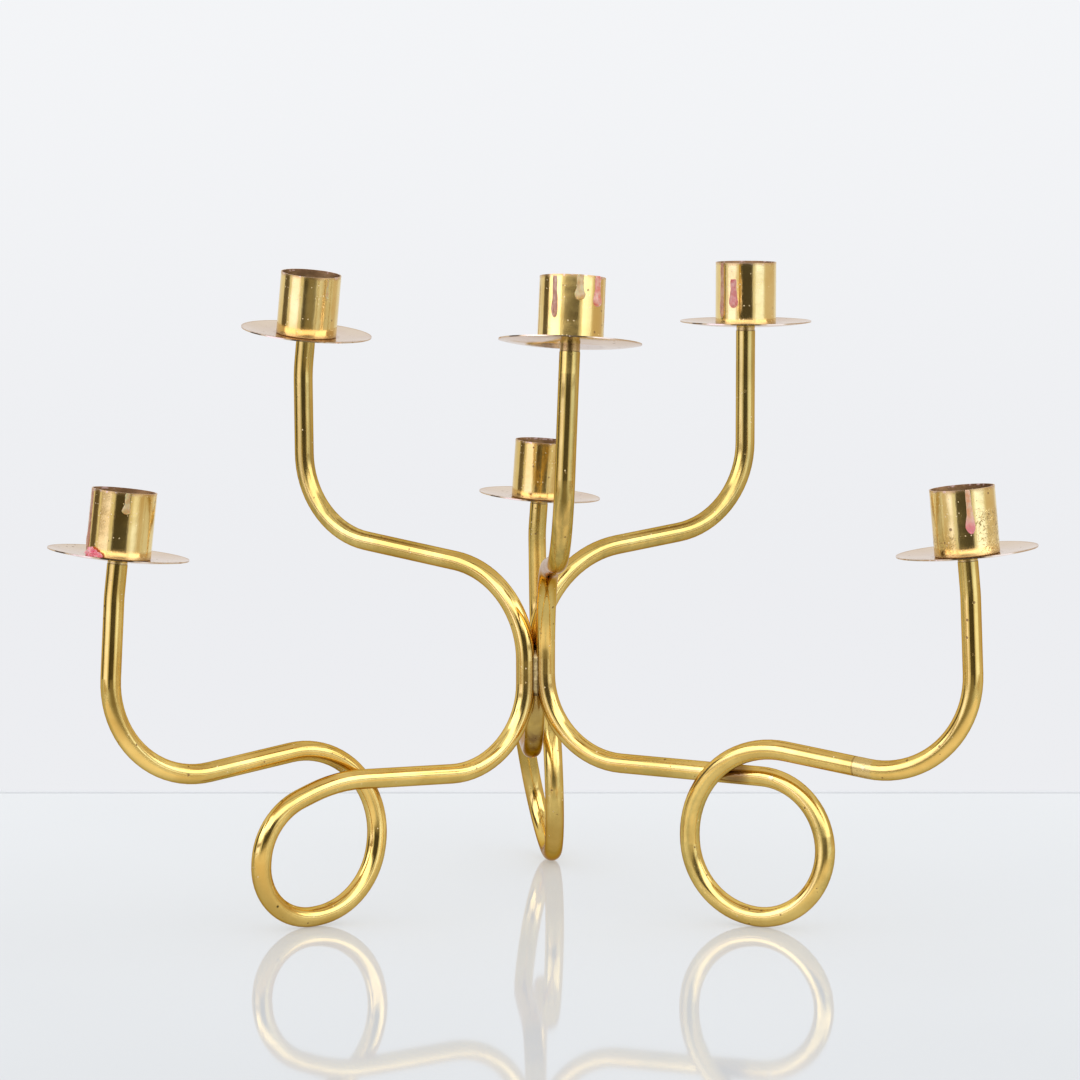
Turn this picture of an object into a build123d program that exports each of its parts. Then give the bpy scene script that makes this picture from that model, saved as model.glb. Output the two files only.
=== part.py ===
"""Six-light brass table candelabra: three bent tubes soldered together at the centre.

Millimetres, +Z up.  The origin is on the table under the centre line of the candelabra,
+X is to its right and +Y is towards its back.  Each tube carries a candle cup at both ends,
and its lower half is bent into a closed loop that is one of the three feet.
"""
from build123d import *

import os
from math import cos, radians, sin, sqrt

os.makedirs("parts", exist_ok=True)

# ---- tube stock ----
TUBE_OD = 8.0
TUBE_WALL = 1.0
TUBE_BORE = TUBE_OD - 2 * TUBE_WALL
STACK_RADIUS = TUBE_OD / sqrt(3) + 0.01  # centre line to tube centre where the three tubes touch

# ---- ferrule closing each tube end ----
COLLAR_OD = 7.8
COLLAR_HEIGHT = 2.2
SPIGOT_LENGTH = 9.0

# ---- drip pan ----
PAN_OD = 55.0
PAN_SHEET = 0.5
PAN_DISH = 1.5
PAN_FLAT_RADIUS = 13.2

# ---- candle cup ----
CUP_OD = 25.4
CUP_WALL = 0.7
CUP_HEIGHT = 26.0
CUP_CORNER = 0.6

# ---- countersunk screw holding cup and pan on the ferrule, its head flush with the cup floor ----
SCREW_OD = 4.0
HEAD_OD = 7.6
SCREW_LENGTH = 10.0
SLOT_WIDTH = 1.0
SLOT_DEPTH = 0.8

# ---- solder between the tubes ----
SOLDER_LENGTH = 19.0
SOLDER_MIDDLE = 96.0
SOLDER_ROOT = 3.1  # centre line of the candelabra to the root of the solder
SOLDER_FACE = 5.0  # and to its outer face
SOLDER_WIDTH = 4.0
SOLDER_TAPER = 3.0  # length over which each end of the solder runs out to nothing

NECK = 13.0  # straight end of a tube that takes the ferrule
NECK_RADIUS = 60.0

# Every arm end: position of the tube end and how far the cup leans towards +X and +Y, degrees.
ENDS = {
    "front_upper": ((13.2, -106.0, 232.7), (2.4, 7.2)),
    "left_upper": ((-96.8, 55.9, 229.3), (5.4, -5.6)),
    "right_upper": ((88.1, 50.9, 233.9), (0.0, -0.9)),
    "left_lower": ((-161.6, -93.3, 150.1), (6.0, 0.9)),
    "right_lower": ((167.0, -96.2, 151.5), (-5.2, 0.0)),
    "back_lower": ((1.4, 189.0, 149.2), (4.0, -1.7)),
}

# Bending line of each tube, corner by corner from the upper to the lower arm.  A corner is
# (reach from the centre line, sideways offset, height, bend radius), in the plane of its arm.
TUBES = {
    "front": {
        "ends": ("front_upper", "right_lower"),
        "upper": (275.5, (106.4, 0.0, 152.5, 37.0), (138.5, 41.5)),
        "lower": (
            330.0,
            (61.5, 35.0),
            (
                (124.0, 6.5, 59.5, 29.5),
                (139.5, 1.5, -1.9, 27.0),
                (75.0, -1.5, 8.1, 29.5),
                (71.0, -6.0, 78.0, 38.0),
                (197.5, 0.0, 62.0, 38.5),
            ),
        ),
    },
    "left": {
        "ends": ("left_upper", "left_lower"),
        "upper": (150.0, (112.4, 0.0, 150.5, 36.5), (135.8, 39.5)),
        "lower": (
            210.0,
            (56.0, 34.5),
            (
                (94.5, 5.0, 59.0, 60.0),
                (127.0, 6.0, 47.0, 25.5),
                (128.5, 1.5, 2.0, 24.0),
                (77.0, -1.5, 6.0, 31.0),
                (64.0, -6.0, 76.5, 34.0),
                (192.5, 0.0, 59.5, 38.0),
            ),
        ),
    },
    "right": {
        "ends": ("right_upper", "back_lower"),
        "upper": (30.0, (101.7, 0.0, 154.6, 37.0), (141.3, 44.0)),
        "lower": (
            90.0,
            (58.8, 34.5),
            (
                (120.0, 6.5, 59.5, 31.0),
                (142.0, -4.0, -3.6, 26.0),
                (75.0, -8.6, 8.9, 30.5),
                (68.5, -7.0, 77.0, 35.5),
                (195.0, -1.4, 60.8, 38.0),
            ),
        ),
    },
}


def in_arm(azimuth, reach, sideways, height):
    """Point in an arm's upright plane; sideways is counter-clockwise seen from above."""
    turn = radians(azimuth)
    return Vector(
        reach * cos(turn) - sideways * sin(turn),
        reach * sin(turn) + sideways * cos(turn),
        height,
    )


def end_plane(end):
    """Plane across a tube end, its normal pointing out of the tube and up through the cup."""
    position, lean = ENDS[end]
    lean_x = sin(radians(lean[0]))
    lean_y = sin(radians(lean[1]))
    axis = Vector(lean_x, lean_y, sqrt(1 - lean_x**2 - lean_y**2))
    return Plane(origin=position, x_dir=(cos(radians(lean[0])), 0, -lean_x), z_dir=axis)


def bending_line(tube):
    """Corners and bend radii of a tube from its upper end to its lower end."""
    upper_end = end_plane(tube["ends"][0])
    lower_end = end_plane(tube["ends"][1])
    upper_azimuth, upper_bend, centre_top = tube["upper"]
    lower_azimuth, centre_bottom, loop = tube["lower"]
    points = [upper_end.origin, upper_end.origin - upper_end.z_dir * NECK]
    radii = [NECK_RADIUS]
    points.append(in_arm(upper_azimuth, *upper_bend[:3]))
    radii.append(upper_bend[3])
    points.append(in_arm(lower_azimuth, STACK_RADIUS, 0, centre_top[0]))
    radii.append(centre_top[1])
    points.append(in_arm(lower_azimuth, STACK_RADIUS, 0, centre_bottom[0]))
    radii.append(centre_bottom[1])
    for reach, sideways, height, radius in loop:
        points.append(in_arm(lower_azimuth, reach, sideways, height))
        radii.append(radius)
    points.append(lower_end.origin - lower_end.z_dir * NECK)
    radii.append(NECK_RADIUS)
    points.append(lower_end.origin)
    return points, radii


# ---- the three bent tubes ----
solid_bars = []
for name, tube in TUBES.items():
    corners, bends = bending_line(tube)
    start = end_plane(tube["ends"][0])
    with BuildPart() as bent:
        with BuildLine() as centre_line:
            FilletPolyline(*corners, radius=bends)
        with BuildSketch(Plane(origin=start.origin, z_dir=-start.z_dir)):
            Circle(TUBE_OD / 2)
            Circle(TUBE_BORE / 2, mode=Mode.SUBTRACT)
        sweep(path=centre_line.wire())
    bent.part.label = f"tube_{name}"
    export_step(bent.part, f"parts/tube_{name}.step")
    with BuildPart() as bar:
        with BuildLine() as middle_line:
            FilletPolyline(*corners[2:6], radius=bends[2:4])
        along = (corners[3] - corners[2]).normalized()
        with BuildSketch(Plane(origin=corners[2], z_dir=along)):
            Circle(TUBE_OD / 2)
        sweep(path=middle_line.wire())
    solid_bars.append(bar.part)

# ---- fittings at the six tube ends, heights measured from the tube end along its axis ----
pan_floor = COLLAR_HEIGHT
cup_floor = COLLAR_HEIGHT + PAN_SHEET
screw_top = COLLAR_HEIGHT + PAN_SHEET + CUP_WALL


def head_radius(height):
    """Radius of the 90 degree countersink at a height, no less than the screw's own radius."""
    return max(SCREW_OD / 2, HEAD_OD / 2 - (screw_top - height))


head_foot = screw_top - (HEAD_OD - SCREW_OD) / 2

for end in ENDS:
    seat = end_plane(end)
    section = Plane(origin=seat.origin, x_dir=seat.x_dir, z_dir=-seat.y_dir)
    middle = Axis(seat.origin, seat.z_dir)

    with BuildPart() as ferrule:
        with BuildSketch(section):
            with BuildLine():
                Polyline(
                    (SCREW_OD / 2, -SPIGOT_LENGTH),
                    (TUBE_BORE / 2, -SPIGOT_LENGTH),
                    (TUBE_BORE / 2, 0),
                    (COLLAR_OD / 2, 0),
                    (COLLAR_OD / 2, COLLAR_HEIGHT),
                    (head_radius(COLLAR_HEIGHT), COLLAR_HEIGHT),
                    (SCREW_OD / 2, head_foot),
                    close=True,
                )
            make_face()
        revolve(axis=middle)
    ferrule.part.label = f"ferrule_{end}"
    export_step(ferrule.part, f"parts/ferrule_{end}.step")

    rim = PAN_OD / 2
    under = (PAN_FLAT_RADIUS, pan_floor)
    over = (PAN_FLAT_RADIUS, cup_floor)
    with BuildPart() as pan:
        with BuildSketch(section):
            with BuildLine():
                Polyline(over, (head_radius(cup_floor), cup_floor), (head_radius(pan_floor), pan_floor), under)
                TangentArc(under, (rim, pan_floor + PAN_DISH), tangent=(1, 0))
                Line((rim, pan_floor + PAN_DISH), (rim, cup_floor + PAN_DISH))
                TangentArc(over, (rim, cup_floor + PAN_DISH), tangent=(1, 0))
            make_face()
        revolve(axis=middle)
    pan.part.label = f"drip_pan_{end}"
    export_step(pan.part, f"parts/drip_pan_{end}.step")

    inside = CUP_OD / 2 - CUP_WALL
    cup_top = cup_floor + CUP_HEIGHT
    with BuildPart() as cup:
        with BuildSketch(section):
            with BuildLine():
                Line((head_radius(cup_floor), cup_floor), (CUP_OD / 2 - CUP_CORNER, cup_floor))
                TangentArc(
                    (CUP_OD / 2 - CUP_CORNER, cup_floor),
                    (CUP_OD / 2, cup_floor + CUP_CORNER),
                    tangent=(1, 0),
                )
                Polyline(
                    (CUP_OD / 2, cup_floor + CUP_CORNER),
                    (CUP_OD / 2, cup_top),
                    (inside, cup_top),
                    (inside, screw_top),
                    (head_radius(screw_top), screw_top),
                    (head_radius(cup_floor), cup_floor),
                )
            make_face()
        revolve(axis=middle)
    cup.part.label = f"candle_cup_{end}"
    export_step(cup.part, f"parts/candle_cup_{end}.step")

    with BuildPart() as screw:
        with BuildSketch(section):
            with BuildLine():
                Polyline(
                    (0, screw_top),
                    (HEAD_OD / 2, screw_top),
                    (SCREW_OD / 2, head_foot),
                    (SCREW_OD / 2, screw_top - SCREW_LENGTH),
                    (0, screw_top - SCREW_LENGTH),
                    close=True,
                )
            make_face()
        revolve(axis=middle)
        with BuildSketch(seat.offset(screw_top)):
            Rectangle(HEAD_OD + 1, SLOT_WIDTH)
        extrude(amount=-SLOT_DEPTH, mode=Mode.SUBTRACT)
    screw.part.label = f"cup_screw_{end}"
    export_step(screw.part, f"parts/cup_screw_{end}.step")

# ---- solder run along each groove between two tubes ----
for side, azimuth in (("front", 270), ("left", 150), ("right", 30)):
    outwards = in_arm(azimuth, 1, 0, 0)
    groove = Plane(origin=(0, 0, SOLDER_MIDDLE), x_dir=outwards, z_dir=in_arm(azimuth, 0, -1, 0))
    half = SOLDER_LENGTH / 2
    with BuildPart() as solder:
        with BuildSketch(groove):
            with BuildLine():
                Polyline(
                    (SOLDER_ROOT, -half),
                    (SOLDER_FACE, SOLDER_TAPER - half),
                    (SOLDER_FACE, half - SOLDER_TAPER),
                    (SOLDER_ROOT, half),
                    close=True,
                )
            make_face()
        extrude(amount=SOLDER_WIDTH / 2, both=True)
        for bar in solid_bars:
            add(bar, mode=Mode.SUBTRACT)
    solder.part.label = f"solder_{side}"
    export_step(solder.part, f"parts/solder_{side}.step")
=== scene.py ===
import math

import bmesh
import bpy
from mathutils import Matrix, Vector, noise


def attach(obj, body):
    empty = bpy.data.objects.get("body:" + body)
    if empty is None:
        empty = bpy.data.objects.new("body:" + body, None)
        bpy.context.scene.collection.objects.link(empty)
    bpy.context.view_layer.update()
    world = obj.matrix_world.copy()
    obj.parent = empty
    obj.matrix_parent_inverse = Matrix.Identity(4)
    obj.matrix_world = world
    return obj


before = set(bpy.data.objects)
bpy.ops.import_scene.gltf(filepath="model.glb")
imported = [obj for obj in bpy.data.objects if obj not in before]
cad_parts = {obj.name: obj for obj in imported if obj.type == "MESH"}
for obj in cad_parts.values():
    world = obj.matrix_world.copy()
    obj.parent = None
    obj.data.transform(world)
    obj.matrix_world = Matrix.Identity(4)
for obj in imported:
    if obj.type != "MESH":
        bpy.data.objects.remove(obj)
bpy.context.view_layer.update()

MM = 0.001

# ---- where the six cups are: foot of the fittings (mm) and lean towards +X and +Y (degrees) ----
ENDS = {
    "front_upper": ((13.2, -106.0, 232.7), (2.4, 7.2)),
    "left_upper": ((-96.8, 55.9, 229.3), (5.4, -5.6)),
    "right_upper": ((88.1, 50.9, 233.9), (0.0, -0.9)),
    "left_lower": ((-161.6, -93.3, 150.1), (6.0, 0.9)),
    "right_lower": ((167.0, -96.2, 151.5), (-5.2, 0.0)),
    "back_lower": ((1.4, 189.0, 149.2), (4.0, -1.7)),
}
CUP_RADIUS = 12.7
CUP_BASE = 2.7
CUP_TOP = 28.7
PAN_RADIUS = 27.5


def end_frame(end):
    """Origin and axes of a tube end, in mm: x to the right, y to the back, z up through the cup."""
    origin, lean = ENDS[end]
    lx, ly = math.sin(math.radians(lean[0])), math.sin(math.radians(lean[1]))
    z = Vector((lx, ly, math.sqrt(1 - lx * lx - ly * ly)))
    x = Vector((math.cos(math.radians(lean[0])), 0, -lx)).normalized()
    return Vector(origin), x, z.cross(x), z


# ---------------------------------------------------------------- node helpers
class Tree:
    """Material whose shader nodes are made and linked in one call each."""

    def __init__(self, name):
        self.material = bpy.data.materials.new(name)
        self.material.use_nodes = True
        self.tree = self.material.node_tree
        self.tree.nodes.clear()
        self.out = self.node("ShaderNodeOutputMaterial")
        self.bsdf = self.node("ShaderNodeBsdfPrincipled")
        self.link(self.bsdf.outputs[0], self.out.inputs["Surface"])
        self.coords = self.node("ShaderNodeTexCoord").outputs["Object"]

    def node(self, kind, **settings):
        made = self.tree.nodes.new(kind)
        for key, value in settings.items():
            setattr(made, key, value)
        return made

    def link(self, a, b):
        self.tree.links.new(a, b)

    def put(self, socket, value):
        if isinstance(value, bpy.types.NodeSocket):
            self.link(value, socket)
        else:
            socket.default_value = value

    def math(self, op, a, b=0.0, c=0.0, clamp=False):
        n = self.node("ShaderNodeMath", operation=op, use_clamp=clamp)
        for i, v in enumerate((a, b, c)):
            self.put(n.inputs[i], v)
        return n.outputs[0]

    def mul(self, a, b):
        return self.math("MULTIPLY", a, b)

    def add(self, a, b, clamp=False):
        return self.math("ADD", a, b, clamp=clamp)

    def vector(self, op, a, b=(0, 0, 0)):
        n = self.node("ShaderNodeVectorMath", operation=op)
        self.put(n.inputs[0], a)
        self.put(n.inputs[1], b)
        return n.outputs["Value" if op in ("DOT_PRODUCT", "LENGTH") else "Vector"]

    def mix(self, factor, a, b):
        n = self.node("ShaderNodeMix", data_type="RGBA")
        self.put(n.inputs[0], factor)
        self.put(n.inputs[6], a)
        self.put(n.inputs[7], b)
        return n.outputs[2]

    def ramp(self, value, *stops):
        n = self.node("ShaderNodeMapRange", interpolation_type="SMOOTHSTEP")
        self.put(n.inputs[0], value)
        low, high, a, b = stops
        for i, v in enumerate((low, high, a, b)):
            n.inputs[i + 1].default_value = v
        return n.outputs[0]

    def noise(self, scale, detail=3.0, rough=0.55, vector=None, distortion=0.0):
        n = self.node("ShaderNodeTexNoise")
        self.link(vector or self.coords, n.inputs["Vector"])
        n.inputs["Scale"].default_value = scale
        n.inputs["Detail"].default_value = detail
        n.inputs["Roughness"].default_value = rough
        n.inputs["Distortion"].default_value = distortion
        return n.outputs["Fac"]

    def cells(self, scale, vector=None):
        n = self.node("ShaderNodeTexVoronoi", feature="F1")
        self.link(vector or self.coords, n.inputs["Vector"])
        n.inputs["Scale"].default_value = scale
        return n.outputs["Distance"], n.outputs["Color"]

    def stretch(self, vector, scale):
        return self.vector("MULTIPLY", vector, scale)

    def split(self, vector):
        n = self.node("ShaderNodeSeparateXYZ")
        self.link(vector, n.inputs[0])
        return n.outputs

    def join(self, x, y, z):
        n = self.node("ShaderNodeCombineXYZ")
        for i, v in enumerate((x, y, z)):
            self.put(n.inputs[i], v)
        return n.outputs[0]

    def scaled(self, place, by):
        """Three coordinates joined into a vector, each multiplied by its own factor."""
        return self.join(*[self.mul(value, factor) for value, factor in zip(place, by)])

    def local(self, end):
        """Coordinates of a surface point in an end's own frame, in mm."""
        origin, x, y, z = end_frame(end)
        rel = self.vector("SUBTRACT", self.stretch(self.coords, (1000, 1000, 1000)), tuple(origin))
        return [self.vector("DOT_PRODUCT", rel, tuple(a)) for a in (x, y, z)]

    def bump(self, height, strength, distance, normal=None):
        n = self.node("ShaderNodeBump")
        n.inputs["Strength"].default_value = strength
        n.inputs["Distance"].default_value = distance
        self.link(height, n.inputs["Height"])
        if normal:
            self.link(normal, n.inputs["Normal"])
        return n.outputs[0]


# ---------------------------------------------------------------- colours and marks of the metal
LIGHT_BRASS = (0.87, 0.67, 0.275, 1)
DEEP_BRASS = (0.74, 0.50, 0.150, 1)
OLIVE = (0.40, 0.32, 0.085, 1)
BROWN = (0.20, 0.105, 0.045, 1)
COPPER = (0.62, 0.27, 0.15, 1)

# places of the marks on the tubes, in metres
SOLDERED_CENTRE = (0, 0, 0.090)
TUBE_UNDER_CENTRE = (0.001, 0.021, 0.064)
LOOP_CROSSINGS = ((0.0795, -0.045, 0.061), (-0.083, -0.044, 0.058))
REPAIR = (0.1300, -0.0776, 0.0678)
REPAIR_ALONG = (0.866, -0.5, 0.0)
NICKS = (((0.1283, -0.0811, 0.0686), 0.0011), ((0.0940, -0.0523, 0.0602), 0.0016))
BLACK_SPECK = (-0.1022, -0.0658, 0.0107)
SOLDER_ROOT = 0.0031  # centre line of the candelabra to the root of a solder run
SOLDER_MIDDLE = 0.096  # height of its middle


def brass_base(t, light=LIGHT_BRASS, deep=DEEP_BRASS, patina=0.35, seed=0.0):
    """Aged brass: cloudy colour, olive patina, dark pits, reddish stains; gives colour, dirt and pits."""
    where = t.vector("ADD", t.coords, (seed, seed * 0.7, -seed))
    cloud = t.noise(28, 5, 0.6, where)
    colour = t.mix(t.ramp(cloud, 0.32, 0.68, 0, 1), deep, light)
    age = t.ramp(t.noise(13, 6, 0.65, where, 0.6), 0.52, 0.74, 0, patina)
    colour = t.mix(age, colour, OLIVE)
    distance, tint = t.cells(420, where)
    pick = t.ramp(t.split(tint)[0], 0.80, 0.83, 0, 1)
    size = t.mul(t.split(tint)[1], 0.26)
    pit = t.mul(pick, t.math("LESS_THAN", distance, size))
    colour = t.mix(t.mul(pit, 0.75), colour, BROWN)
    stain = t.ramp(t.noise(75, 4, 0.6, where), 0.69, 0.76, 0, 0.55)
    colour = t.mix(stain, colour, COPPER)
    dirt = t.add(age, t.mul(pit, 0.5))
    return colour, dirt, pit


def spot(t, place, reach, shape=(1, 1, 1)):
    """1 at a place on the tubes, falling unevenly to 0 at its reach; both in metres."""
    far = t.vector("LENGTH", t.vector("MULTIPLY", t.vector("SUBTRACT", t.coords, place), shape))
    return t.ramp(t.add(far, t.mul(t.noise(110, 4), reach * 0.6)), reach * 0.55, reach * 1.3, 1, 0)


def brass_tube():
    t = Tree("aged_brass_tube")
    colour, dirt, pit = brass_base(t, (0.84, 0.61, 0.190, 1), (0.64, 0.42, 0.105, 1), 0.65)
    x, _, z = t.split(t.coords)
    # the upright arms are duller and more olive than the lower tubes
    arms = t.ramp(t.add(z, t.mul(t.noise(22, 4), 0.03)), 0.140, 0.180, 0, 1)
    streaks = t.noise(1.0, 4, 0.6, t.stretch(t.coords, (420, 420, 26)))
    olive = t.mul(arms, t.ramp(streaks, 0.35, 0.70, 0.20, 0.70))
    colour = t.mix(olive, colour, (0.36, 0.275, 0.085, 1))
    # brown heat tarnish round the soldered centre, and painted shade, dark brown, at the crossings of the
    # loops where the tubes nearly touch
    soot = t.mul(spot(t, SOLDERED_CENTRE, 0.011, (1, 1, 0.34)), 0.55)
    mottle = t.ramp(t.noise(240, 4), 0.36, 0.62, 0.60, 0.98)
    under = t.mul(spot(t, TUBE_UNDER_CENTRE, 0.014, (1, 0.55, 0.8)), mottle)
    painted_crossing_shades = [spot(t, place, 0.009) for place in LOOP_CROSSINGS]
    cross = t.mul(t.math("MAXIMUM", *painted_crossing_shades), 0.85)
    for mask in (soot, under, cross):
        colour = t.mix(mask, colour, BROWN)
    # dull repaired band on the right lower arm, with a bright nick beside it
    along = t.vector("DOT_PRODUCT", t.vector("SUBTRACT", t.coords, REPAIR), REPAIR_ALONG)
    here = t.mul(t.ramp(x, 0.11, 0.1101, 0, 1), t.ramp(z, 0.09, 0.091, 1, 0))
    rough_edge = t.add(along, t.mul(t.noise(260, 2), 0.0012))
    band = t.mul(t.ramp(t.math("ABSOLUTE", rough_edge), 0.0034, 0.0042, 1, 0), here)
    seam_and_painted_shadow = t.mul(t.ramp(t.math("ABSOLUTE", t.add(rough_edge, 0.0040)), 0.0002, 0.0005, 0.5, 0), here)
    colour = t.mix(t.mul(band, 0.60), colour, (0.64, 0.49, 0.22, 1))
    colour = t.mix(seam_and_painted_shadow, colour, BROWN)
    nick = t.math("MAXIMUM", *[spot(t, place, reach) for place, reach in NICKS])
    colour = t.mix(t.mul(nick, 0.6), colour, (0.84, 0.74, 0.46, 1))
    speck = spot(t, BLACK_SPECK, 0.0008)
    colour = t.mix(speck, colour, (0.05, 0.03, 0.01, 1))
    # small light flecks of dust and wax
    fleck_d, fleck_c = t.cells(520)
    fleck = t.mul(t.ramp(t.split(fleck_c)[0], 0.92, 0.94, 0, 1), t.math("LESS_THAN", fleck_d, 0.15))
    colour = t.mix(t.mul(fleck, 0.45), colour, (0.93, 0.82, 0.60, 1))
    t.put(t.bsdf.inputs["Base Color"], colour)
    t.bsdf.inputs["Metallic"].default_value = 1.0
    t.bsdf.inputs["Specular Tint"].default_value = (0.60, 0.42, 0.26, 1)
    scratch = t.noise(900, 2, 0.5, t.stretch(t.coords, (0.25, 0.25, 1.0)))
    rough = t.add(0.07, t.mul(t.noise(60, 4), 0.10))
    tarnish = ((dirt, 0.30), (arms, 0.05), (soot, 0.15), (under, 0.06))
    for mask, more in (*tarnish, (band, 0.14), (fleck, 0.4), (nick, 0.2)):
        rough = t.add(rough, t.mul(mask, more))
    t.put(t.bsdf.inputs["Roughness"], rough)
    wave = t.bump(t.noise(45, 2), 0.12, 0.0012)
    fine = t.bump(scratch, 0.03, 0.0002, wave)
    marks = t.bump(t.add(fleck, nick), 0.4, 0.0002, fine)
    t.put(t.bsdf.inputs["Normal"], t.bump(t.mul(pit, -1), 0.3, 0.0002, marks))
    return t.material


def film(t, x, y, h):
    """Edges of thin clear wax that has wrinkled on the right side and low on the left of a cup."""
    sheet_where = t.scaled((x, y, h), (0.42, 0.42, 0.34))
    contour = t.math("ABSOLUTE", t.math("SUBTRACT", t.noise(1.0, 4, 0.62, sheet_where, 0.8), 0.5))
    line = t.ramp(contour, 0.008, 0.026, 1, 0)
    right = t.mul(t.ramp(x, 2.6, 4.2, 0, 1), t.ramp(h, 18.5, 21.5, 1, 0))
    left = t.mul(t.ramp(x, -6.5, -4.8, 1, 0), t.ramp(h, 10.0, 12.5, 1, 0))
    front = t.ramp(y, -1.0, 0.5, 1, 0)
    return t.mul(t.mul(line, t.math("MAXIMUM", right, left)), front)


def brass_cup(end, seed):
    t = Tree("aged_brass_cup_" + end)
    colour, dirt, _ = brass_base(t, patina=0.30, seed=seed)
    x, y, h = t.local(end)
    radius = t.vector("LENGTH", t.join(x, y, 0.0))
    inside = t.ramp(radius, 12.25, 12.45, 1, 0)
    rim_wear = t.ramp(t.add(h, t.mul(t.noise(180, 3), 2.2)), CUP_TOP - 0.5, CUP_TOP + 1.3, 0, 0.55)
    colour = t.mix(rim_wear, colour, (0.42, 0.20, 0.10, 1))
    burnt = t.mix(t.ramp(t.noise(110, 4), 0.35, 0.65, 0, 1), (0.16, 0.07, 0.035, 1), (0.42, 0.24, 0.11, 1))
    colour = t.mix(t.mul(inside, 0.85), colour, burnt)
    # fine marks left by spinning run round the cup
    turned = t.noise(1.0, 3, 0.6, t.scaled((x, y, h), (0.35, 0.35, 9.0)))
    scuffs = t.noise(1.0, 2, 0.5, t.scaled((x, y, h), (3.0, 3.0, 0.5)))
    spatter_d, spatter_c = t.cells(1.0, t.scaled((x, y, h), (0.9, 0.9, 0.9)))
    spatter = t.mul(t.ramp(t.split(spatter_c)[2], 0.83, 0.86, 0, 1), t.math("LESS_THAN", spatter_d, 0.20))
    colour = t.mix(t.mul(spatter, 0.45), colour, (0.86, 0.74, 0.55, 1))
    flakes = t.ramp(t.noise(420, 4, 0.6), 0.54, 0.62, 0, 0.7)
    crust = t.mul(t.ramp(h, CUP_TOP - 1.1, CUP_TOP - 0.5, 0, 1), flakes)
    colour = t.mix(crust, colour, (0.80, 0.58, 0.48, 1))
    # dull ring where the cup sits on the pan
    ring = t.ramp(t.add(h, t.mul(t.noise(230, 3), -1.6)), CUP_BASE - 0.4, CUP_BASE + 1.4, 0.75, 0)
    colour = t.mix(ring, colour, (0.50, 0.34, 0.15, 1))
    wrinkles = film(t, x, y, h) if end == "right_lower" else None
    if wrinkles:
        colour = t.mix(t.mul(wrinkles, 0.8), colour, (0.22, 0.13, 0.04, 1))
        spatter = t.math("MAXIMUM", spatter, wrinkles)
    t.put(t.bsdf.inputs["Base Color"], colour)
    t.bsdf.inputs["Metallic"].default_value = 1.0
    rough = t.add(0.06, t.mul(t.noise(45, 4), 0.10))
    rough = t.add(rough, t.mul(dirt, 0.30))
    rough = t.add(rough, t.mul(t.add(inside, rim_wear), 0.35))
    rough = t.add(rough, t.mul(ring, 0.35))
    rough = t.add(rough, t.mul(spatter, 0.35), clamp=True)
    t.put(t.bsdf.inputs["Roughness"], rough)
    lines = t.bump(turned, 0.04, 0.00012)
    dents = t.bump(t.noise(70, 2, vector=t.vector("ADD", t.coords, (seed, 0, 0))), 0.13, 0.0012, lines)
    marks = t.bump(scuffs, 0.06, 0.0002, dents)
    t.put(t.bsdf.inputs["Normal"], t.bump(spatter, 0.4, 0.0002, marks))
    return t.material


def brass_pan(end, seed):
    t = Tree("aged_brass_pan_" + end)
    colour, dirt, _ = brass_base(t, (0.88, 0.77, 0.62, 1), (0.80, 0.67, 0.50, 1), 0.10, seed)
    x, y, _ = t.local(end)
    radius = t.vector("LENGTH", t.join(x, y, 0.0))
    ring = t.noise(1.0, 4, 0.65, t.scaled((radius, x, y), (2.6, 0.03, 0.03)))
    blotch = t.ramp(t.noise(48, 5, 0.7, t.vector("ADD", t.coords, (seed, seed, 0))), 0.45, 0.70, 0, 0.5)
    colour = t.mix(blotch, colour, (0.72, 0.58, 0.50, 1))
    edge = t.ramp(t.add(radius, t.mul(t.noise(150, 3), 1.2)), PAN_RADIUS - 0.6, PAN_RADIUS + 0.6, 0, 0.5)
    colour = t.mix(edge, colour, (0.50, 0.30, 0.12, 1))
    foot = t.ramp(t.add(radius, t.mul(t.noise(200, 3), 2.0)), 13.6, 15.6, 0.5, 0)
    colour = t.mix(foot, colour, (0.40, 0.22, 0.10, 1))
    drop_d, drop_c = t.cells(1.0, t.join(t.mul(x, 0.55), t.mul(y, 0.55), 0.0))
    drop = t.mul(t.ramp(t.split(drop_c)[1], 0.80, 0.83, 0, 1), t.ramp(drop_d, 0.14, 0.20, 1, 0))
    colour = t.mix(t.mul(drop, 0.5), colour, (0.88, 0.74, 0.62, 1))
    t.put(t.bsdf.inputs["Base Color"], colour)
    t.bsdf.inputs["Metallic"].default_value = 1.0
    rough = t.add(0.05, t.mul(t.noise(60, 4), 0.08))
    rough = t.add(rough, t.mul(dirt, 0.30))
    rough = t.add(rough, t.mul(t.add(drop, blotch), 0.15), clamp=True)
    t.put(t.bsdf.inputs["Roughness"], rough)
    t.bsdf.inputs["Specular Tint"].default_value = (0.88, 0.81, 0.77, 1)
    lines = t.bump(ring, 0.04, 0.0002)
    t.put(t.bsdf.inputs["Normal"], t.bump(t.noise(28, 2), 0.06, 0.0015, lines))
    return t.material


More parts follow.
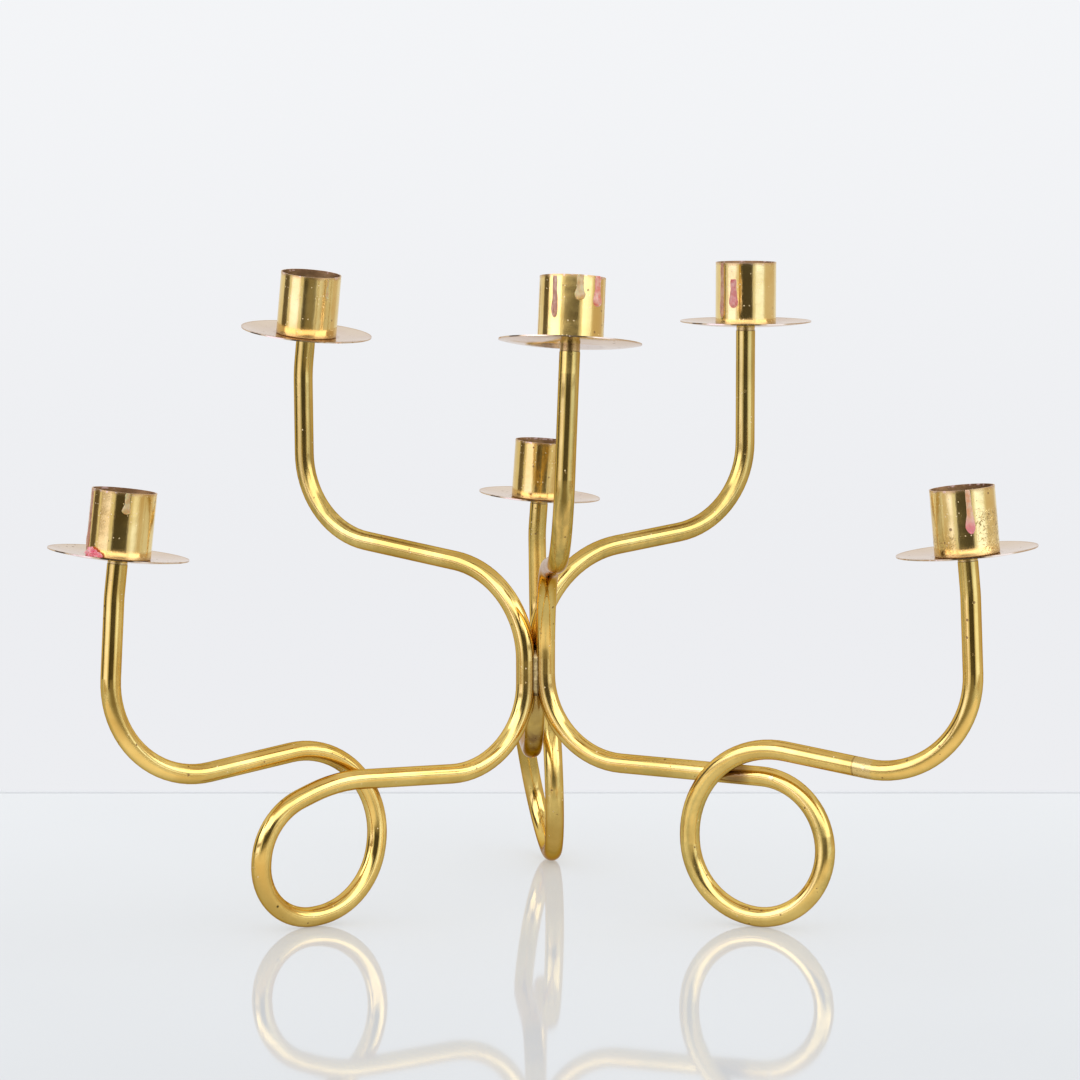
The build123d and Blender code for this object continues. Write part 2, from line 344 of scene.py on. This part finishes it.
def brass_turned(end, seed):
    t = Tree("turned_brass_" + end)
    colour, dirt, _ = brass_base(t, (0.72, 0.52, 0.22, 1), (0.50, 0.33, 0.12, 1), 0.5, seed)
    x, y, h = t.local(end)
    # painted shadow between the pan and the stem: a near-black band round the collar at the foot of the
    # fitting
    seam_and_painted_shadow = t.ramp(t.math("ABSOLUTE", h), 0.0, 0.45, 0.85, 0)
    colour = t.mix(seam_and_painted_shadow, colour, (0.10, 0.055, 0.02, 1))
    t.put(t.bsdf.inputs["Base Color"], colour)
    t.bsdf.inputs["Metallic"].default_value = 1.0
    rough = t.add(0.24, t.mul(dirt, 0.4), clamp=True)
    t.put(t.bsdf.inputs["Roughness"], rough)
    cut = t.noise(1.0, 2, 0.5, t.scaled((x, y, h), (0.3, 0.3, 12.0)))
    t.put(t.bsdf.inputs["Normal"], t.bump(cut, 0.2, 0.0002))
    return t.material


def solder_metal():
    t = Tree("soft_solder")
    cloud = t.noise(260, 5, 0.65)
    colour = t.mix(t.ramp(cloud, 0.35, 0.65, 0, 1), (0.42, 0.31, 0.11, 1), (0.82, 0.65, 0.32, 1))
    grime = t.ramp(t.noise(420, 3), 0.58, 0.70, 0, 0.7)
    colour = t.mix(grime, colour, (0.17, 0.11, 0.05, 1))
    # brown flux along both sides and at the ends of the run
    z = t.split(t.coords)[2]
    turns = []
    for a in (90.0, 210.0, 330.0):
        outwards = (-math.cos(math.radians(a)), -math.sin(math.radians(a)), 0)
        sideways = (math.sin(math.radians(a)), -math.cos(math.radians(a)), 0)
        across = t.vector("DOT_PRODUCT", t.coords, sideways)
        out = t.vector("DOT_PRODUCT", t.coords, outwards)
        turns.append(t.mul(t.math("ABSOLUTE", across), t.math("GREATER_THAN", out, SOLDER_ROOT)))
    widest = t.math("MAXIMUM", t.math("MAXIMUM", turns[0], turns[1]), turns[2])
    side = t.add(widest, t.mul(t.noise(500, 4), 0.0007))
    ends = t.add(t.math("ABSOLUTE", t.math("SUBTRACT", z, SOLDER_MIDDLE)), t.mul(t.noise(400, 3), 0.004))
    flux = t.math("MAXIMUM", t.ramp(side, 0.00075, 0.00125, 0, 0.9), t.ramp(ends, 0.0085, 0.0110, 0, 0.9))
    colour = t.mix(flux, colour, (0.16, 0.095, 0.035, 1))
    t.put(t.bsdf.inputs["Base Color"], colour)
    t.bsdf.inputs["Metallic"].default_value = 1.0
    t.put(t.bsdf.inputs["Roughness"], t.add(0.32, t.mul(cloud, 0.3)))
    t.put(t.bsdf.inputs["Normal"], t.bump(t.noise(700, 4), 0.5, 0.0004))
    return t.material


def wax(name, colour, pale, clear, foot=None):
    """Cloudy wax; foot gives a second colour that the run turns to lower down its cup."""
    t = Tree("wax_" + name)
    cloud = t.noise(340, 4, 0.6)
    shade = t.mix(t.ramp(cloud, 0.35, 0.68, 0, 1), colour, pale)
    if foot:
        shade = t.mix(t.ramp(t.local(foot[0])[2], foot[1], foot[2], 0.85, 0), shade, foot[3])
    dust = t.ramp(t.noise(900, 3), 0.60, 0.72, 0, 0.35)
    shade = t.mix(dust, shade, (0.62, 0.42, 0.34, 1))
    t.put(t.bsdf.inputs["Base Color"], shade)
    t.put(t.bsdf.inputs["Roughness"], t.add(0.28, t.mul(cloud, 0.25)))
    t.bsdf.inputs["IOR"].default_value = 1.44
    t.bsdf.inputs["Coat Weight"].default_value = 0.2
    t.bsdf.inputs["Coat Roughness"].default_value = 0.08
    t.bsdf.inputs["Subsurface Weight"].default_value = 0.35
    t.bsdf.inputs["Subsurface Radius"].default_value = (0.9, 0.4, 0.3)
    t.bsdf.inputs["Subsurface Scale"].default_value = 0.0012
    t.bsdf.inputs["Transmission Weight"].default_value = clear
    t.put(t.bsdf.inputs["Normal"], t.bump(t.noise(520, 4), 0.45, 0.0005))
    return t.material


# ---------------------------------------------------------------- metal pieces
tube_material = brass_tube()
solder_material = solder_metal()
for name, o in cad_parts.items():
    if name.startswith("tube_"):
        made = tube_material
    elif name.startswith("solder_"):
        made = solder_material
    else:
        end = next(e for e in ENDS if name.endswith(e))
        seed = 0.37 * (1 + list(ENDS).index(end))
        maker = {"candle": brass_cup, "drip": brass_pan}.get(name.split("_")[0], brass_turned)
        key = maker.__name__ + end
        made = bpy.data.materials.get(key) or maker(end, seed)
        made.name = key
    o.data.materials.clear()
    o.data.materials.append(made)


# ---------------------------------------------------------------- wax
def smooth_shade(o):
    for p in o.data.polygons:
        p.use_smooth = True


def cup_point(end, angle, height, radius):
    """Point on a cup: angle in degrees from the front, positive to the right; height and radius in mm."""
    origin, x, y, z = end_frame(end)
    a = math.radians(angle)
    return (origin + z * height + (x * math.sin(a) - y * math.cos(a)) * radius) * MM


def drip(name, end, angle, width, top, length, thick, material, seed, bulb=1.0, lean=0.0):
    """A run of wax down a cup wall: a closed blister with a thicker drop at its foot."""
    mesh = bpy.data.meshes.new(name)
    b = bmesh.new()
    rows, columns = 44, 18
    sheets = ([], [])
    for i in range(rows + 1):
        v = i / rows
        half = 0.5 * width * (0.62 + 0.38 * bulb * math.exp(-(((v - 0.80) / 0.20) ** 2)))
        half *= 1 + 0.22 * noise.noise(Vector((seed, v * 5.0, 3.1)))
        if v > 0.86:
            half *= math.sqrt(max(0.0, 1 - ((v - 0.86) / 0.14) ** 2)) * 0.97 + 0.03
        if v < 0.08:
            half *= 0.8 + 0.2 * v / 0.08
        for j in range(columns + 1):
            u = 2 * j / columns - 1
            across = angle + math.degrees((u * half + lean * v * length) / CUP_RADIUS)
            across += 2.0 * noise.noise(Vector((seed * 2, v * 3.0, 9.0)))
            height = top - v * length
            body = math.sqrt(max(0.0, 1 - u * u))
            swell = 0.45 + 0.55 * math.exp(-(((v - 0.82) / 0.15) ** 2))
            lumps = 1 + 0.30 * noise.noise(Vector((u * 1.8 + seed, v * length * 0.35, 1.0)))
            fade = min(1.0, (1 - v) / 0.05) if v > 0.95 else 1.0
            rise = thick * body * swell * lumps * fade
            outer = CUP_RADIUS + max(rise, 0.0) + 0.01
            sheets[0].append(b.verts.new(cup_point(end, across, height, outer)))
            sheets[1].append(b.verts.new(cup_point(end, across, height, CUP_RADIUS - 0.12)))
    n = columns + 1
    for i in range(rows):
        for j in range(columns):
            q = [i * n + j, i * n + j + 1, (i + 1) * n + j + 1, (i + 1) * n + j]
            b.faces.new([sheets[0][k] for k in q])
            b.faces.new([sheets[1][k] for k in reversed(q)])
    border = [(0, j) for j in range(n)] + [(i, n - 1) for i in range(1, rows + 1)]
    border += [(rows, j) for j in range(n - 2, -1, -1)] + [(i, 0) for i in range(rows - 1, 0, -1)]
    for k, (i, j) in enumerate(border):
        i2, j2 = border[(k + 1) % len(border)]
        here, after = i * n + j, i2 * n + j2
        b.faces.new([sheets[0][after], sheets[0][here], sheets[1][here], sheets[1][after]])
    bmesh.ops.recalc_face_normals(b, faces=b.faces)
    b.to_mesh(mesh)
    b.free()
    o = bpy.data.objects.new(name, mesh)
    bpy.context.scene.collection.objects.link(o)
    mesh.materials.append(material)
    smooth_shade(o)
    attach(o, "root")
    return o


def lump(name, end, angle, radius, height, size, material, seed):
    """A broken lump of wax lying on a pan or sticking to a cup foot."""
    mesh = bpy.data.meshes.new(name)
    b = bmesh.new()
    bmesh.ops.create_icosphere(b, subdivisions=5, radius=1.0)
    origin, x, y, z = end_frame(end)
    a = math.radians(angle)
    out = x * math.sin(a) - y * math.cos(a)
    side = x * math.cos(a) + y * math.sin(a)
    centre = origin + z * height + out * radius
    for v in b.verts:
        d = v.co.normalized()
        broad = 0.30 * noise.noise(d * 1.7 + Vector((seed, 0, 0)))
        fine = 0.16 * noise.noise(d * 4.5 + Vector((0, seed, 0)))
        p = d * (1 + broad + fine)
        v.co = (centre + side * p.x * size[0] + out * p.y * size[1] + z * max(p.z, -0.55) * size[2]) * MM
    b.to_mesh(mesh)
    b.free()
    o = bpy.data.objects.new(name, mesh)
    bpy.context.scene.collection.objects.link(o)
    mesh.materials.append(material)
    smooth_shade(o)
    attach(o, "root")
    return o


PINK = wax("pink", (0.80, 0.10, 0.17, 1), (0.93, 0.45, 0.48, 1), 0.0)
RED = wax("red", (0.66, 0.13, 0.11, 1), (0.84, 0.40, 0.34, 1), 0.05)
ROSE = wax("rose", (0.54, 0.22, 0.11, 1), (0.78, 0.46, 0.30, 1), 0.15)
CLEAR = wax("clear", (0.80, 0.50, 0.17, 1), (0.95, 0.76, 0.38, 1), 0.32)
BLUSH = wax("blush", (0.84, 0.20, 0.13, 1), (0.94, 0.56, 0.42, 1), 0.05)
PINK_FOOT = ("right_lower", 12.0, 20.0, (0.88, 0.24, 0.34, 1))
ORANGE = wax("orange", (0.90, 0.42, 0.20, 1), (0.95, 0.62, 0.42, 1), 0.05, PINK_FOOT)

drip("wax_left_lower_streak", "left_lower", -67, 4.4, 28.3, 24.0, 0.5, ROSE, 1.0, 0.4)
drip("wax_left_lower_bead", "left_lower", 12, 3.3, 28.6, 8.2, 0.8, CLEAR, 2.0, 1.1)
lump("wax_left_lower_lump", "left_lower", -45, 13.4, 4.0, (3.1, 1.3, 2.2), PINK, 4.0)
lump("wax_left_lower_crumb", "left_lower", -30, 13.7, 3.6, (2.0, 1.0, 1.2), PINK, 7.0)
drip("wax_right_lower_run", "right_lower", 3.5, 3.5, 28.7, 17.2, 0.7, ORANGE, 3.0, 1.2, 0.02)
drip("wax_front_streak", "front_upper", -33, 3.4, 28.0, 16.0, 0.5, ROSE, 6.0, 0.5, 0.03)
drip("wax_front_bead", "front_upper", 13, 4.4, 28.7, 9.8, 1.0, CLEAR, 9.0, 1.0)
drip("wax_front_red", "front_upper", 49, 5.2, 28.7, 11.8, 0.9, BLUSH, 11.0, 0.9)
drip("wax_right_upper_patch", "right_upper", -27, 4.4, 22.0, 12.0, 0.6, RED, 12.0, 0.8)
drip("wax_right_upper_streak", "right_upper", -54, 3.4, 28.6, 23.0, 0.45, ROSE, 14.0, 0.4)
drip("wax_left_upper_thread", "left_upper", 38, 1.4, 28.0, 9.0, 0.35, CLEAR, 15.0, 1.3)

# ---------------------------------------------------------------- table, in metres
TABLE_SIDE = 2.5
TABLE_FRONT = -0.62
TABLE_BACK = 0.2965
TABLE_RIM = 0.006


def table_glass():
    t = Tree("pale_glass_table")
    cloud = t.noise(3.0, 2)
    tone = t.mix(t.ramp(cloud, 0.3, 0.7, 0, 1), (0.855, 0.880, 0.900, 1), (0.875, 0.900, 0.920, 1))
    t.put(t.bsdf.inputs["Base Color"], t.mix(0.5, tone, (0, 0, 0, 1)))
    t.put(t.bsdf.inputs["Emission Color"], tone)
    t.bsdf.inputs["Emission Strength"].default_value = 0.327
    t.put(t.bsdf.inputs["Roughness"], t.add(0.035, t.mul(t.noise(8, 2), 0.02)))
    t.bsdf.inputs["IOR"].default_value = 1.21
    t.bsdf.inputs["Specular IOR Level"].default_value = 0.5
    return t.material


def table_rim():
    t = Tree("ground_glass_edge")
    cloud = t.noise(6.0, 3)
    tone = t.mix(t.ramp(cloud, 0.3, 0.7, 0, 1), (0.86, 0.875, 0.895, 1), (0.90, 0.915, 0.935, 1))
    t.put(t.bsdf.inputs["Base Color"], tone)
    t.put(t.bsdf.inputs["Roughness"], t.add(0.35, t.mul(cloud, 0.1)))
    return t.material


def sheet(name, corners, material):
    mesh = bpy.data.meshes.new(name)
    mesh.from_pydata(corners, [], [tuple(range(len(corners)))])
    o = bpy.data.objects.new(name, mesh)
    bpy.context.scene.collection.objects.link(o)
    mesh.materials.append(material)
    return o


def flat_strip(name, front, back, height, material):
    """Level rectangle as wide as the table, from one y to another."""
    sides = ((-TABLE_SIDE, front), (TABLE_SIDE, front), (TABLE_SIDE, back), (-TABLE_SIDE, back))
    return sheet(name, [(x, y, height) for x, y in sides], material)


flat_strip("table_top", TABLE_FRONT, TABLE_BACK, 0, table_glass())
flat_strip("table_edge", TABLE_BACK - TABLE_RIM, TABLE_BACK, 0.0002, table_rim())


def card_material(name, colour, strength, width, tall, soft):
    """Glow that fades to nothing over the soft margin of a card and shows on its front only."""
    t = Tree(name)
    x, y, _ = t.split(t.coords)
    side = t.ramp(t.math("ABSOLUTE", x), width / 2 - soft, width / 2, 1, 0)
    edge = t.ramp(t.math("ABSOLUTE", y), tall / 2 - soft, tall / 2, 1, 0)
    back = t.node("ShaderNodeNewGeometry").outputs["Backfacing"]
    shown = t.mul(t.mul(side, edge), t.math("SUBTRACT", 1.0, back))
    glow = t.node("ShaderNodeEmission")
    glow.inputs["Color"].default_value = colour
    glow.inputs["Strength"].default_value = strength
    clear = t.node("ShaderNodeBsdfTransparent")
    both = t.node("ShaderNodeMixShader")
    t.put(both.inputs[0], shown)
    t.link(clear.outputs[0], both.inputs[1])
    t.link(glow.outputs[0], both.inputs[2])
    t.link(both.outputs[0], t.out.inputs["Surface"])
    return t.material


def card(name, centre, width, tall, look_at, colour, strength, soft=0.12):
    """Soft-edged light or flag that shows in reflections only."""
    sides = ((-0.5, -0.5), (0.5, -0.5), (0.5, 0.5), (-0.5, 0.5))
    corners = [(x * width, y * tall, 0) for x, y in sides]
    o = sheet(name, corners, card_material(name + "_glow", colour, strength, width, tall, soft))
    o.location = centre
    o.rotation_mode = "QUATERNION"
    o.rotation_quaternion = (Vector(look_at) - Vector(centre)).to_track_quat("Z", "Y")
    o.visible_camera = False
    o.visible_shadow = False
    o.visible_diffuse = False


def card_at(name, turn, distance, height, width, tall, colour, strength, soft=0.12):
    """Card facing the candelabra; turn is in degrees to the right of the direction of the camera."""
    a = math.radians(turn)
    centre = (distance * math.sin(a), -distance * math.cos(a), height)
    card(name, centre, width, tall, (0, 0, height), colour, strength, soft)


def card_on_table(name, x, y, width, depth, colour, height=0.0006, soft=0.12):
    """Card lying just above the table, seen only as the colour of the table in the brass."""
    card(name, (x, y, height), width, depth, (x, y, 1.0), colour, 1.0, soft)


# ---------------------------------------------------------------- what the brass reflects
# Flags (DARK, DUSK) give the dark stripes, panels (WHITE, GREEN, BRIGHT) the highlights.
DARK = (0.080, 0.072, 0.055, 1)
DUSK = (0.15, 0.13, 0.11, 1)
BRIGHT = (0.98, 1.0, 1.20, 1)
WHITE = (0.97, 1.0, 1.55, 1)
GREEN = (0.86, 1.0, 1.40, 1)
WARM = (0.72, 0.65, 0.60, 1)
LINE = (0.44, 0.38, 0.31, 1)
GLOW = (1.08, 1.00, 0.96, 1)
FAR = (0.66, 0.58, 0.48, 1)
DIM = (0.30, 0.27, 0.20, 1)
SHADE = (0.60, 0.55, 0.48, 1)

card_at("flag_front", 0, 2.2, 0.17, 2.45, 1.50, DARK, 1.0, 0.30)
card_at("panel_left", -57, 2.0, 0.95, 1.60, 2.6, WHITE, 1.70, 0.34)
card_at("panel_left_high", -63, 1.85, 1.25, 2.10, 1.7, BRIGHT, 2.9, 0.30)
card_at("band_left", -57, 1.95, 0.27, 1.50, 0.24, LINE, 1.0, 0.07)
card_at("flag_left", -99, 1.8, 0.35, 1.00, 1.4, DUSK, 1.0, 0.16)
card_at("panel_right", 54, 2.05, 0.95, 1.60, 2.6, GREEN, 1.60, 0.34)
card_at("panel_right_high", 62, 1.85, 1.25, 2.10, 1.7, BRIGHT, 2.9, 0.30)
card_at("band_right", 54, 2.0, 0.27, 1.50, 0.24, LINE, 1.0, 0.07)
card_at("wall_right", 105, 1.9, 0.45, 2.2, 1.6, WARM, 1.0, 0.2)
card("panel_front_top", (0.0, -1.62, 1.25), 2.6, 1.25, (0, 0, 0.15), BRIGHT, 2.6, 0.22)
card("ceiling_slot", (0.0, -0.60, 1.95), 3.2, 0.26, (0, 0, 0.15), DUSK, 1.0, 0.08)
card("ceiling", (0.0, 0.30, 2.1), 3.4, 1.5, (0, 0, 0.15), WARM, 1.0, 0.1)
for side, sign in (("left", -1), ("right", 1)):
    card_on_table("table_glow_" + side, sign * 0.22, -0.20, 0.46, 0.30, GLOW, soft=0.09)
    card_on_table("table_far_" + side, sign * 0.80, -0.38, 0.70, 0.48, FAR, soft=0.14)
card_on_table("table_dim", 0.0, -0.72, 0.75, 1.15, DIM, height=0.0009, soft=0.28)
card_on_table("table_shade", 0.0, 0.15, 0.50, 0.28, SHADE, soft=0.13)

# ---------------------------------------------------------------- backdrop and light
HORIZON_TONE = (0.845, 0.853, 0.880, 1)
BACKDROP_TONE = (0.902, 0.912, 0.932, 1)

world = bpy.data.worlds.new("studio")
bpy.context.scene.world = world
world.use_nodes = True
sky = world.node_tree
background = sky.nodes["Background"]
direction = sky.nodes.new("ShaderNodeTexCoord")
height = sky.nodes.new("ShaderNodeSeparateXYZ")
rise = sky.nodes.new("ShaderNodeMapRange")
rise.interpolation_type = "SMOOTHSTEP"
rise.inputs["From Min"].default_value = -0.12
rise.inputs["From Max"].default_value = 0.05
tone = sky.nodes.new("ShaderNodeMix")
tone.data_type = "RGBA"
tone.inputs[6].default_value = HORIZON_TONE
tone.inputs[7].default_value = BACKDROP_TONE
sky.links.new(direction.outputs["Generated"], height.inputs[0])
sky.links.new(height.outputs["Z"], rise.inputs["Value"])
sky.links.new(rise.outputs[0], tone.inputs[0])
sky.links.new(tone.outputs[2], background.inputs["Color"])
background.inputs["Strength"].default_value = 1.0


def area(name, location, size, power, target=(0, 0, 0.12)):
    data = bpy.data.lights.new(name, "AREA")
    data.shape = "RECTANGLE"
    data.size, data.size_y = size
    data.energy = power
    o = bpy.data.objects.new(name, data)
    o.location = location
    o.rotation_mode = "QUATERNION"
    o.rotation_quaternion = (Vector(target) - Vector(location)).to_track_quat("-Z", "Y")
    bpy.context.scene.collection.objects.link(o)
    return o


area("soft_top", (0.0, -0.2, 1.9), (2.2, 1.8), 1.2)

# ---------------------------------------------------------------- camera
LENS = 137.81  # mm, on a sensor 36 mm wide
CAMERA_PLACE = (0.00183, -1.6841, 0.31164)
CAMERA_PITCH = 5.4666  # degrees below level

camera_data = bpy.data.cameras.new("camera")
camera_data.sensor_width = 36.0
camera_data.lens = LENS
camera = bpy.data.objects.new("camera", camera_data)
camera.location = CAMERA_PLACE
camera.rotation_euler = (math.radians(90 - CAMERA_PITCH), 0, 0)
bpy.context.scene.collection.objects.link(camera)
bpy.context.scene.camera = camera
bpy.context.scene.view_settings.view_transform = "Standard"
